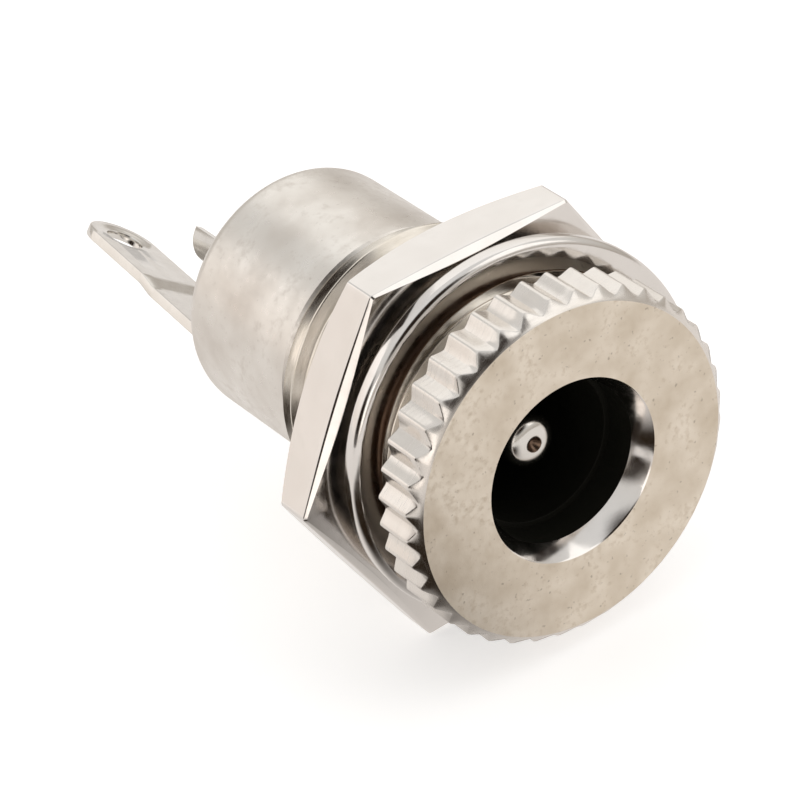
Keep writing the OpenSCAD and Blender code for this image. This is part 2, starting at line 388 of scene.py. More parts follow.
def material(finish: Finish) -> bpy.types.Material:
    """Builds a finish as a node material in Object coordinates.

    Args:
        finish: what the surface looks like.
    Returns:
        The material.
    """
    made = bpy.data.materials.new(finish.name)
    made.use_nodes = True
    tree = made.node_tree
    shader = tree.nodes["Principled BSDF"]
    place = add(tree, "ShaderNodeTexCoord").outputs["Object"]
    stretch = tuple(s / MM for s in finish.grain.value)
    mapped = add(tree, "ShaderNodeMapping", Vector=place, Scale=stretch).outputs["Vector"]
    even = add(tree, "ShaderNodeMapping", Vector=place, Scale=(1 / MM,) * 3).outputs["Vector"]
    fine = noise(tree, mapped, finish.grain_mm, FINE_NOISE)
    broad = noise(tree, even, finish.blotch_mm, BROAD_NOISE)
    spots = noise(tree, even, finish.pit_mm, PIT_NOISE)
    blotch = spanned(tree, broad, BLOTCH_SPAN, 0.0, finish.blotch)
    speck = spanned(tree, fine, SPECK_SPAN, 0.0, finish.blotch)
    both = add(tree, "ShaderNodeMath", {"operation": "MAXIMUM"}, i0=blotch, i1=speck)
    blended = add(tree, "ShaderNodeMix", {"data_type": "RGBA"}, i0=both.outputs[0],
                  i6=linear(finish.colour), i7=linear(finish.second))
    pit = spanned(tree, spots, PIT_SPAN, 0.0, finish.pits)
    colour = add(tree, "ShaderNodeMix", {"data_type": "RGBA"}, i0=pit,
                 i6=blended.outputs[2], i7=linear(finish.pit_colour))
    rough = spanned(tree, fine, ROUGH_SPAN, finish.roughness - finish.spread,
                    finish.roughness + finish.spread)
    bump = add(tree, "ShaderNodeBump", Strength=1.0, Distance=finish.bump_mm * MM, Height=fine)
    tree.links.new(colour.outputs[2], shader.inputs["Base Color"])
    tree.links.new(rough, shader.inputs["Roughness"])
    tree.links.new(bump.outputs["Normal"], shader.inputs["Normal"])
    shader.inputs["Metallic"].default_value = finish.metallic
    shader.inputs["Specular IOR Level"].default_value = finish.specular
    return made


FINISHES = {
    # Nickel plate over a faced brass head: a dull warm sheen with fine pits
    "face": Finish("nickel_plate_faced", "#f0e6d7", "#c8b9a3", roughness=0.42, spread=0.10,
                   grain_mm=0.24, blotch_mm=1.5, blotch=0.60, bump_mm=0.007, pits=0.35),
    # The same plating on sharp turned cuts, which stays bright and mirrors its surroundings
    "bright": Finish("nickel_plate_turned", "#e8e3dd", "#d6cfc7", roughness=0.24, spread=0.06,
                     grain=Grain.TURNED, grain_mm=0.12, blotch_mm=1.0, blotch=0.3,
                     bump_mm=0.0008),
    # Plated thread flanks: bright, with a fine tool mark
    "thread": Finish("nickel_plate_threaded", "#e0dad1", "#cbc1b0", roughness=0.22,
                     spread=0.06, grain=Grain.TURNED, grain_mm=0.1, blotch_mm=0.9,
                     blotch=0.35, bump_mm=0.002),
    # The neck behind the head and the drill point in the pin's tip: the same plating, painted
    # brown and dim as painted shade for the dark gap there
    "painted_shade": Finish("nickel_plate_painted_shade", "#7d6859", "#5e4c40", roughness=0.30,
                     grain=Grain.TURNED, grain_mm=0.12, blotch_mm=1.0, blotch=0.5,
                     bump_mm=0.003),
    # Plated and tumbled rear body: satin, with faint blotches
    "satin": Finish("nickel_plate_satin", "#ebe7e1", "#b8ada2", roughness=0.34,
                    grain_mm=0.42, blotch_mm=2.2, blotch=0.42, bump_mm=0.004, pits=0.12),
    # Bright nickel on the nut, the washer and the mouth's cone: nearly a mirror
    "mirror": Finish("bright_nickel", "#e8e4e0", "#d8d3cd", roughness=0.14, spread=0.05,
                     grain_mm=0.5, blotch_mm=1.8, blotch=0.3, bump_mm=0.002),
    # Stamped plated sheet: bright and smooth
    "sheet": Finish("nickel_plate_stamped", "#e6e3de", "#d3cdc5", roughness=0.17,
                    spread=0.05, grain_mm=0.4, blotch_mm=1.5, blotch=0.3, bump_mm=0.002),
    # Black moulded PBT of the liner: dark and dull
    "black": Finish("black_pbt_moulded", "#191914", "#21201b", roughness=0.6, metallic=0.0,
                    grain_mm=0.2, blotch_mm=1.2, blotch=0.5, bump_mm=0.003, specular=0.12),
    # Dark grey turned plastic of the bush, with a dull skin
    "grey": Finish("grey_plastic_turned", "#57524a", "#6a645a", roughness=0.5, metallic=0.0,
                   grain=Grain.TURNED, grain_mm=0.15, blotch_mm=0.9, blotch=0.5,
                   bump_mm=0.003),
}


# ---- Sub-assemblies ----


@dataclass(frozen=True)
class Places:
    """Where the CAD part puts things, in millimetres."""

    face_y: float
    head_r: float
    liner_y: float
    floor_y: float
    lip_y: float
    disc_y: float
    pin_tip_y: float
    cup_end_y: float
    tab_end_y: float
    bush_end_y: float
    washer_y: float
    nut_y: float
    nut_t: float
    low_z: float

    @classmethod
    def read(cls) -> Places:
        """Reads the boxes of the CAD nodes.

        Returns:
            The places.
        """
        def low(node: str) -> Vector:
            """Lowest corner of a node."""
            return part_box(node)[0] / MM

        def high(node: str) -> Vector:
            """Highest corner of a node."""
            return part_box(node)[1] / MM

        return cls(
            face_y=low("shell").y, head_r=high("shell").x, liner_y=low("socket_liner").y,
            floor_y=low("rear_bush").y, lip_y=high("shell").y, disc_y=low("ground_tab").y,
            pin_tip_y=low("centre_pin").y, cup_end_y=high("centre_pin").y,
            tab_end_y=high("ground_tab").y, bush_end_y=high("rear_bush").y,
            washer_y=low("split_washer").y, nut_y=low("hex_nut").y,
            nut_t=high("hex_nut").y - low("hex_nut").y, low_z=low("hex_nut").z)


class ShellSkin(IntEnum):
    """Which finish a band of the shell has."""

    FACE = 0
    BRIGHT = 1
    THREAD = 2
    BODY = 3
    # Painted shade: the neck behind the head, coloured dark where little light reaches
    PAINTED_SHADE = 4
    MOUTH = 5


@dataclass(frozen=True)
class Shell:
    """The turned shell: head with knurl, threaded barrel and rolled rear body."""

    p: Places
    flutes: int = 40
    first_flute: float = 2.0
    flute_depth: float = 0.33
    flute_round: float = 0.22
    crest_land: float = 0.1
    # Columns across one flute, in degrees from its crest
    flute_marks: tuple[float, ...] = (
        0.0, 0.6, 0.95, 1.5, 2.4, 3.4, 4.5, 5.6, 6.6, 7.5, 8.05, 8.4)
    head_chamfer: float = 0.42
    mouth_r: float = 3.5
    mouth_edge: Point = (0.02, 0.055)
    face_rows: Point = (4.6, 5.6)
    # How far the edges of the head are broken
    edge: float = 0.03
    rim_edge: float = 0.015
    crest_edge: float = 0.035
    knurl_rows: Point = (0.6, 0.3)
    knurl_end: Point = (0.06, 0.05)
    seat_rows: Point = (1.4, 0.6)
    relief_r: float = 5.0
    relief_fillet: float = 0.1
    relief_end: float = 0.06
    thread_len: float = 7.6
    groove_r: float = 4.65
    groove_w: float = 0.35
    groove_fillets: Point = (0.06, 0.05)
    body_r: float = 4.9
    body_chamfer: float = 0.1
    bore_r: float = 4.2
    roll_r: float = 0.75
    roll_steps: int = 8
    lip_r: float = 4.0
    lip_len: float = 1.0
    lip_edge: tuple[Point, ...] = ((0.1, 0.0), (0.04, -0.03), (0.015, -0.09))
    # The rolled lip isn't quite round: height, and (waves round it, share, phase)
    lip_wave: float = 0.02
    lip_waves: tuple[tuple[int, float, float], ...] = ((3, 1.0, 1.0), (5, 0.6, 2.0))

    def knurl_r(self, turn: float) -> float:
        """Radius of the fluted rim.

        Args:
            turn: direction as a turn.
        Returns:
            The radius in mm.
        """
        step = FULL / self.flutes
        off = abs((QUARTER - FULL * turn - self.first_flute + step / 2) % step - step / 2)
        land = math.degrees(self.crest_land / 2 / self.p.head_r)
        share = min(1.0, off / (step / 2 - land))
        if share < self.flute_round:
            share = (share ** 2 / self.flute_round + self.flute_round) / 2
        return self.p.head_r - self.flute_depth * (1 - share)

    def turns(self) -> list[float]:
        """Columns that follow the flutes closely.

        Returns:
            Turns over a full circle, from crest to crest.
        """
        step = FULL / self.flutes
        crest = (QUARTER - self.first_flute + step / 2) % step
        degrees = [crest + n * step + mark for n in range(self.flutes)
                   for mark in self.flute_marks]
        return [d / FULL for d in [*degrees, crest + FULL]]

    def fluted(self, y: float, inset: float = 0.0) -> Ring:
        """A row round the flutes at y, that far inside them."""
        return Ring(lambda turn: (self.knurl_r(turn) - inset, y), ShellSkin.BRIGHT)

    def chamfered(self, shift: float, inset: float = 0.0) -> Ring:
        """A row where the front chamfer meets the flutes, moved back and inwards."""
        start = self.p.face_y - (self.p.head_r - self.head_chamfer) + shift
        return Ring(lambda turn: (self.knurl_r(turn) - inset, start + self.knurl_r(turn)),
                    ShellSkin.BRIGHT)

    def head(self) -> list[Ring]:
        """Rows from the mouth to the panel seat.

        Returns:
            The rings.
        """
        face_y, rim_r = self.p.face_y, self.p.head_r - self.head_chamfer
        face, bright, mouth = ShellSkin.FACE, ShellSkin.BRIGHT, ShellSkin.MOUTH
        painted_shade, fillet = ShellSkin.PAINTED_SHADE, self.relief_fillet
        end, inset = self.knurl_end
        far, near = self.seat_rows
        return [
            fixed(ENTRY_R, self.p.liner_y, mouth),
            fixed(self.mouth_r - self.edge, face_y + self.mouth_edge[1], mouth),
            fixed(self.mouth_r + self.mouth_edge[0], face_y, face),
            *(fixed(r, face_y, face) for r in self.face_rows),
            fixed(rim_r - self.edge, face_y, bright),
            fixed(rim_r + self.rim_edge, face_y + self.edge, bright),
            self.chamfered(-self.edge, self.edge),
            self.chamfered(self.crest_edge),
            *(self.fluted(face_y * share) for share in self.knurl_rows),
            self.fluted(-end),
            self.fluted(0.0, inset),
            fixed(self.relief_r + far, 0.0, ShellSkin.BODY),
            # The neck bands take the painted shade skin, brown and dim for the dark gap behind the
            # head
            fixed(self.relief_r + near, 0.0, painted_shade),
            fixed(self.relief_r + fillet, 0.0, painted_shade),
            fixed(self.relief_r, fillet, painted_shade),
            fixed(self.relief_r, THREAD_FROM - self.relief_end, painted_shade),
            fixed(THREAD_R - THREAD_DEPTH, THREAD_FROM, ShellSkin.THREAD),
        ]

    def wavy(self, radius: float, y: float) -> Ring:
        """A row of the rolled lip's uneven edge.

        Args:
            radius: its mean radius.
            y: place along the axis.
        Returns:
            The ring.
        """
        def place(turn: float) -> Point:
            """Radius and y at a turn."""
            wave = sum(share * math.sin(math.tau * count * turn + phase)
                       for count, share, phase in self.lip_waves)
            return radius + self.lip_wave * wave, y
        return Ring(place, ShellSkin.BRIGHT)

    def rear(self) -> list[Ring]:
        """Rows from the thread's end over the rolled lip and back inside.

        Returns:
            The rings.
        """
        start = THREAD_FROM + self.thread_len
        end, lip_y = start + self.groove_w, self.p.lip_y
        first, second = self.groove_fillets
        roll = arc((self.body_r - self.roll_r, lip_y - self.roll_r), self.roll_r, 0, QUARTER,
                   self.roll_steps)
        outline = [(THREAD_R - THREAD_DEPTH, start), (self.groove_r + first, start),
                   (self.groove_r, start + first), (self.groove_r, end - second),
                   (self.groove_r + second, end), (self.body_r - self.body_chamfer, end),
                   (self.body_r, end + self.body_chamfer), (self.body_r, (end + lip_y) / 2), *roll]
        lip = [self.wavy(r, y) for r, y in shifted((self.lip_r, lip_y), self.lip_edge)]
        inside = [(self.lip_r, lip_y - self.lip_len), (self.bore_r, lip_y - self.lip_len),
                  (self.bore_r, self.p.liner_y)]
        return [*rows(outline, ShellSkin.BODY), *lip, *rows(inside, ShellSkin.BODY)]

    def build(self, skins: Skins) -> bpy.types.Object:
        """Builds and dresses the shell.

        Args:
            skins: materials by name.
        Returns:
            The piece.
        """
        thread = Thread(THREAD_FROM, THREAD_FROM + self.thread_len)
        rings = [*self.head(), *thread.rings(ShellSkin.THREAD), *self.rear()]
        finishes = ("face", "bright", "thread", "satin", "painted_shade", "mirror")
        return piece("shell_skin", swept(rings, self.turns(), True),
                     [skins[name] for name in finishes])


@dataclass(frozen=True)
class Socket:
    """The black liner and the rear bush."""

    p: Places
    liner_r: float = 4.19
    land: float = 1.3
    bore_r: float = 2.9
    pocket_r: float = 3.3
    pocket_at: float = 6.8
    back_gap: float = 0.3
    step_edge: float = 0.02
    entry_edge: float = 0.04
    liner_steps: int = 128
    floor_r: float = 2.84
    floor_chamfer: Point = (0.09, 0.1)
    shank_gap: float = 0.01
    boss_proud: float = 0.2
    boss_round: float = 0.3
    nose_r: float = 1.65
    # The step and cone behind the boss, and the ring cut near the nose's end
    step: tuple[Point, ...] = ((0.03, 0.0), (0.0, 0.03), (0.0, 0.17), (-0.1, 0.3))
    cone: tuple[Point, ...] = ((0.02, 0.46), (0.0, 0.55))
    nose_ring: tuple[Point, ...] = (
        (0.0, -0.5), (-0.05, -0.46), (-0.05, -0.4), (0.0, -0.36), (0.0, -0.1), (-0.1, 0.0))
    round_steps: int = 6
    bush_steps: int = 96

    def liner(self, skins: Skins) -> bpy.types.Object:
        """Builds the liner.

        Args:
            skins: materials by name.
        Returns:
            The piece.
        """
        front, land = self.p.liner_y, self.p.liner_y + self.land
        back, pocket = self.p.disc_y - self.back_gap, self.p.face_y + self.pocket_at
        outline = [(ENTRY_R, front + self.step_edge), (ENTRY_R + self.entry_edge, front),
                   (self.liner_r, front), (self.liner_r, back), (self.pocket_r, back),
                   (self.pocket_r, pocket), (self.bore_r, pocket),
                   (self.bore_r, land + self.step_edge), (self.bore_r + self.step_edge, land),
                   (ENTRY_R, land)]
        mesh = swept(rows(outline), even_turns(self.liner_steps), True)
        return piece("liner_skin", mesh, [skins["black"]])

    def bush(self, skins: Skins) -> bpy.types.Object:
        """Builds the bush with its stepped nose.

        Args:
            skins: materials by name.
        Returns:
            The piece.
        """
        floor, disc, end = self.p.floor_y, self.p.disc_y, self.p.bush_end_y
        boss_y, inner = self.p.lip_y + self.boss_proud, SHANK_R + self.shank_gap
        across, along = self.floor_chamfer
        corner = (BOSS_R - self.boss_round, boss_y - self.boss_round)
        outline = [(inner, floor), (self.floor_r - across, floor), (self.floor_r, floor + along),
                   (self.floor_r, disc), (BOSS_R, disc),
                   *arc(corner, self.boss_round, 0, QUARTER, self.round_steps),
                   *shifted(((BOSS_R + self.nose_r) / 2, boss_y), self.step),
                   *shifted((self.nose_r, boss_y), self.cone),
                   *shifted((self.nose_r, end), self.nose_ring), (inner, end)]
        mesh = swept(rows(outline), even_turns(self.bush_steps), True)
        return piece("bush_skin", mesh, [skins["grey"]])


@dataclass(frozen=True)
class Pin:
    """The turned centre pin, whose rear end is the solder cup."""

    p: Places
    pin_r: float = 1.0
    # The drill point in the tip: radius and depth of its rows, with painted shade down to the last
    # one
    dimple: tuple[Point, ...] = ((0.0, 0.25), (0.12, 0.2), (0.27, 0.03), (0.3, 0.0))
    tip_flat: float = 0.4
    tip_len: float = 0.45
    tip_step: int = 10
    collar_r: float = 1.45
    collar_t: float = 0.5
    collar_front: tuple[Point, ...] = ((-0.1, 0.0), (-0.03, 0.03), (0.0, 0.1))
    collar_back: tuple[Point, ...] = ((0.0, -0.12), (-0.04, -0.06))
    cup_r: float = 1.2
    cup_foot: tuple[Point, ...] = ((0.05, 0.0), (0.0, 0.05))
    cup_rim: tuple[Point, ...] = ((0.0, -0.1), (-0.03, -0.03), (-0.1, 0.0))
    cup_bore_r: float = 0.85
    bore_edge: float = 0.03
    cup_well: float = 1.2
    drill_point: float = 0.4
    steps: int = 96
    # The cutter that opens the cup on the side away from the tab
    cut_floor: float = 0.1
    cut_after: float = 0.1
    cut_round: float = 1.32
    cut_step: int = 6
    cut_reach: float = 3.0
    cut_past: float = 1.0

    def cutter(self) -> bmesh.types.BMesh:
        """The shape that the cutter takes from the cup.

        Returns:
            A mesh in millimetres.
        """
        start = self.p.bush_end_y + self.collar_t + self.cut_after
        past = self.p.cup_end_y + self.cut_past
        centre = (self.cut_floor + self.cut_round, start + self.cut_round)
        steps = QUARTER // self.cut_step
        side = [*arc(centre, self.cut_round, -QUARTER, -HALF_TURN, steps), (self.cut_floor, past),
                (self.cut_reach, past), (self.cut_reach, start)]
        away = TAB_ANGLE + HALF_TURN
        mesh = bmesh.new()
        corners = [mesh.verts.new(at_angle(q, y, -self.cut_reach, away)) for q, y in side]
        grown = bmesh.ops.extrude_face_region(mesh, geom=[mesh.faces.new(corners)])["geom"]
        bmesh.ops.translate(mesh, vec=at_angle(0, 0, 2 * self.cut_reach, away),
                            verts=[g for g in grown if isinstance(g, bmesh.types.BMVert)])
        bmesh.ops.recalc_face_normals(mesh, faces=mesh.faces)
        return mesh

    def rings(self) -> list[Ring]:
        """Rows from the drill point in the tip to the bottom of the cup's bore.

        Returns:
            The rings.
        """
        tip, floor, end = self.p.pin_tip_y, self.p.floor_y, self.p.cup_end_y
        collar = self.p.bush_end_y
        cup, well = collar + self.collar_t, collar + self.collar_t - self.cup_well
        dimple = shifted((0.0, tip), self.dimple)
        angles = [math.radians(a) for a in range(0, QUARTER + 1, self.tip_step)]
        nose = [(self.tip_flat + (self.pin_r - self.tip_flat) * math.sin(a),
                 tip + self.tip_len * (1 - math.cos(a))) for a in angles]
        outline = [dimple[-1], *nose, (self.pin_r, floor), (SHANK_R, floor), (SHANK_R, collar),
                   *shifted((self.collar_r, collar), self.collar_front),
                   *shifted((self.collar_r, cup), self.collar_back),
                   *shifted((self.cup_r, cup), self.cup_foot),
                   *shifted((self.cup_r, end), self.cup_rim),
                   (self.cup_bore_r + self.bore_edge, end),
                   (self.cup_bore_r, end - self.bore_edge),
                   (self.cup_bore_r, well + self.drill_point), (0.0, well)]
        return [*rows(dimple[:-1], 1), *rows(outline)]

    def build(self, skins: Skins) -> bpy.types.Object:
        """Builds the pin and mills the cup open.

        Args:
            skins: materials by name.
        Returns:
            The piece.
        """
        # Skin 1 is the painted shade, which darkens the drill point in the tip
        made = piece("pin_skin", swept(self.rings(), even_turns(self.steps), False),
                     [skins["sheet"], skins["painted_shade"]])
        knife = piece("pin_cutter", self.cutter(), [skins["sheet"]])
        cut = made.modifiers.new("cup", "BOOLEAN")
        cut.operation = "DIFFERENCE"
        cut.solver = "EXACT"
        cut.object = knife
        made.modifiers.move(len(made.modifiers) - 1, 0)
        data = bpy.data.meshes.new_from_object(
            made.evaluated_get(bpy.context.evaluated_depsgraph_get()))
        made.modifiers.remove(cut)
        made.data = data
        data.set_sharp_from_angle(angle=SMOOTH_UNDER)
        bpy.data.objects.remove(knife)
        return made


@dataclass
class GroundTab:
    """The contact disc and the solder tab that is bent up from it."""

    p: Places
    half_t: float = SHEET_T / 2
    width: float = 3.0
    offset: float = 3.5
    foot: float = 0.6
    lean: float = 0.085
    joggle_at: float = 6.0
    joggle: float = 0.2
    joggle_len: float = 0.8
    bend_reach: tuple[float, ...] = (0.0, 0.45, 0.3, 0.16, 0.16, 0.0)
    bend_steps: int = 6
    end_step: int = 5
    # The wire hole and the coined ring round it: radius and how far it is pressed in
    hole: tuple[Point, ...] = ((0.75, 0.03), (1.0, 0.03), (1.06, 0.0))
    hole_steps: int = 72
    edge_round: float = 0.045
    edge_over: float = math.radians(70)
    disc_r: float = 4.15
    disc_gap: float = 0.05
    disc_edge: float = 0.04
    disc_steps: int = 128
    path: list[Point] = field(init=False)
    at: list[float] = field(init=False)

    def __post_init__(self) -> None:
        """Lays out the middle line and its lengths."""
        self.path = self.middle_line()
        self.at = [0.0]
        for a, b in zip(self.path, self.path[1:]):
            self.at.append(self.at[-1] + math.dist(a, b))

    def middle_line(self) -> list[Point]:
        """Side view of the tab's middle line with its bends rounded.

        Returns:
            (distance from the axis, y) points.
        """
        disc, lip, end = self.p.disc_y + self.half_t, self.p.lip_y, self.p.tab_end_y
        joggle_y = lip + self.joggle_at
        first = self.offset - self.lean * self.joggle_at
        after = first - self.joggle
        rest = end - joggle_y - self.joggle_len
        corners = [(self.offset - self.foot, disc), (self.offset, disc), (self.offset, lip),
                   (first, joggle_y), (after, joggle_y + self.joggle_len),
                   (after - self.lean * rest, end)]
        line = [corners[0]]
        for i in range(1, len(corners) - 1):
            before, here, there = (Vector(corners[n]) for n in (i - 1, i, i + 1))
            a = here + (before - here).normalized() * self.bend_reach[i]
            b = here + (there - here).normalized() * self.bend_reach[i]
            for t in even_turns(self.bend_steps):
                line.append(tuple(a * (1 - t) ** 2 + here * 2 * t * (1 - t) + b * t * t))
        return [*line, corners[-1]]

    def bent(self, s: float, w: float, h: float) -> Vector:
        """Where a point of the flat plan ends up.

        Args:
            s: distance along the tab.
            w: distance across it.
            h: height over its middle.
        Returns:
            The point in the row frame.
        """
        i = 0
        while i < len(self.at) - 2 and self.at[i + 1] < s - ON_PLANE / 10:
            i += 1
        a, b = Vector(self.path[i]), Vector(self.path[i + 1])
        along = (b - a).normalized()
        point = a + along * (s - self.at[i])
        if 0 < i and s - self.at[i] < ON_PLANE:
            along = (along + (a - Vector(self.path[i - 1])).normalized()).normalized()
        if i < len(self.at) - 2 and self.at[i + 1] - s < ON_PLANE:
            along = (along + (Vector(self.path[i + 2]) - b).normalized()).normalized()
        return at_angle(point.x + along.y * h, point.y - along.x * h, w, TAB_ANGLE)

    def flat_plan(self) -> bmesh.types.BMesh:
        """The tab before bending: a strip with a round end and a wire hole in a coined ring.

        Returns:
            A mesh in millimetres, with the length along X and the width along Y.
        """
        mesh = bmesh.new()
        hole_s, half = self.at[-1] - self.width / 2, self.width / 2
        turned = range(-QUARTER, QUARTER + 1, self.end_step)
        side = [(0.0, -half), *((hole_s + half * math.cos(math.radians(a)),
                                 half * math.sin(math.radians(a))) for a in turned), (0.0, half)]
        outline = [mesh.verts.new((x, y, self.half_t)) for x, y in side]
        loop = [mesh.edges.new((outline[n - 1], outline[n])) for n in range(len(outline))]
        circles = []
        for radius, drop in self.hole:
            place = Matrix.Translation((hole_s, 0, self.half_t - drop))
            made = bmesh.ops.create_circle(mesh, cap_ends=False, segments=self.hole_steps,
                                           radius=radius, matrix=place)["verts"]
            circles.append(list({e for v in made for e in v.link_edges}))
        bmesh.ops.triangle_fill(mesh, use_beauty=True, use_dissolve=False,
                                edges=loop + circles[-1])
        for inner, outer in zip(circles, circles[1:]):
            bmesh.ops.bridge_loops(mesh, edges=inner + outer)
        bmesh.ops.recalc_face_normals(mesh, faces=mesh.faces)
        return mesh

    def tab(self) -> bmesh.types.BMesh:
        """The tab, thickened, with its edges rounded, and bent.

        Returns:
            A mesh in millimetres.
        """
        mesh = self.flat_plan()
        grown = bmesh.ops.extrude_face_region(mesh, geom=list(mesh.faces), use_keep_orig=True)
        for item in grown["geom"]:
            if isinstance(item, bmesh.types.BMVert):
                item.co.z = -item.co.z
        bmesh.ops.recalc_face_normals(mesh, faces=mesh.faces)
        sharp = [e for e in mesh.edges if len(e.link_faces) == 2
                 and e.calc_face_angle() > self.edge_over
                 and abs(e.verts[0].co.z - e.verts[1].co.z) < self.half_t / 10]
        bmesh.ops.bevel(mesh, geom=sharp, offset=self.edge_round, segments=2, profile=0.5,
                        affect="EDGES", material=-1)
        for s in self.at[1:-1]:
            bmesh.ops.bisect_plane(mesh, geom=whole(mesh), plane_co=(s, 0, 0),
                                   plane_no=(1, 0, 0), dist=ON_PLANE)
        for vert in mesh.verts:
            vert.co = self.bent(vert.co.x, vert.co.y, vert.co.z)
        return welded(mesh)

    def disc(self) -> bmesh.types.BMesh:
        """The disc under the rolled lip, cut straight where the tab leaves it.

        Returns:
            A mesh in millimetres.
        """
        y, back, inner = self.p.disc_y, self.p.disc_y + SHEET_T, BOSS_R + self.disc_gap
        outline = [(inner, y), (self.disc_r, y), (self.disc_r, back),
                   (inner + self.disc_edge, back), (inner, back - self.disc_edge)]
        mesh = swept(rows(outline), even_turns(self.disc_steps), True)
        edge = at_angle(self.offset + self.half_t, y, 0, TAB_ANGLE)
        cut = bmesh.ops.bisect_plane(mesh, geom=whole(mesh), plane_co=edge,
                                     plane_no=at_angle(1, 0, 0, TAB_ANGLE), clear_outer=True,
                                     dist=ON_PLANE)["geom_cut"]
        bmesh.ops.contextual_create(mesh,
                                    geom=[g for g in cut if isinstance(g, bmesh.types.BMEdge)])
        return welded(mesh)

    def build(self, skins: Skins) -> list[bpy.types.Object]:
        """Builds the tab and the disc, in that order."""
        return [piece("tab_skin", self.tab(), [skins["sheet"]]),
                piece("disc_skin", self.disc(), [skins["sheet"]])]


@dataclass(frozen=True)
class Washer:
    """The split washer: one left-hand turn of rectangular wire, loose on the thread."""

    p: Places
    bore_r: float = 5.9
    outer_r: float = 7.15
    thickness: float = 0.7
    rise: float = 0.98
    lean: float = 0.45
    lean_from: float = 15.0
    off_centre: Point = (0.2, 0.2)
    split_angle: float = 12.0
    split_gap: float = 3.0
    edge_round: float = 0.14
    worn_round: float = 0.3
    round_steps: int = 5
    end_chamfer: Point = (0.5 / FULL, 0.05)
    stretches: int = 120

    def section(self, inset: float) -> list[Point]:
        """Section of the wire with rounded edges, the outer front one worn.

        Args:
            inset: amount by which it is smaller all round.
        Returns:
            (radius, y) points round the section.
        """
        low, high = self.bore_r + inset, self.outer_r - inset
        front, back, b, worn = inset, self.thickness - inset, self.edge_round, self.worn_round
        corners = [((high - worn, front + worn), worn, -QUARTER), ((high - b, back - b), b, 0),
                   ((low + b, back - b), b, QUARTER), ((low + b, front + b), b, HALF_TURN)]
        return [p for centre, r, start in corners
                for p in arc(centre, r, start, start + QUARTER, self.round_steps)]

    def build(self, skins: Skins) -> bpy.types.Object:
        """Builds the washer.

        Args:
            skins: materials by name.
        Returns:
            The piece.
        """
        length, inset = self.end_chamfer
        wire, end = self.section(0.0), self.section(inset)
        inner = [i / self.stretches for i in range(1, self.stretches)]
        shares = [0.0, length, *inner, 1 - length, 1.0]
        mesh, found = spun(len(wire), len(shares) - 1, True)
        ends = [e for e in mesh.edges if e.is_boundary]
        for vert, column, row in found:
            share = shares[column]
            radius, y = (end if share in (0.0, 1.0) else wire)[row]
            angle = self.split_angle + (FULL - self.split_gap) * share
            y += self.rise * share + self.lean * math.sin(math.radians(angle - self.lean_from))
            vert.co = at_angle(radius, self.p.washer_y + y, 0, angle)
        bmesh.ops.holes_fill(mesh, edges=ends, sides=0)
        bmesh.ops.translate(mesh, vec=(self.off_centre[0], 0, self.off_centre[1]),
                            verts=mesh.verts)
        return piece("washer_skin", welded(mesh), [skins["mirror"]])


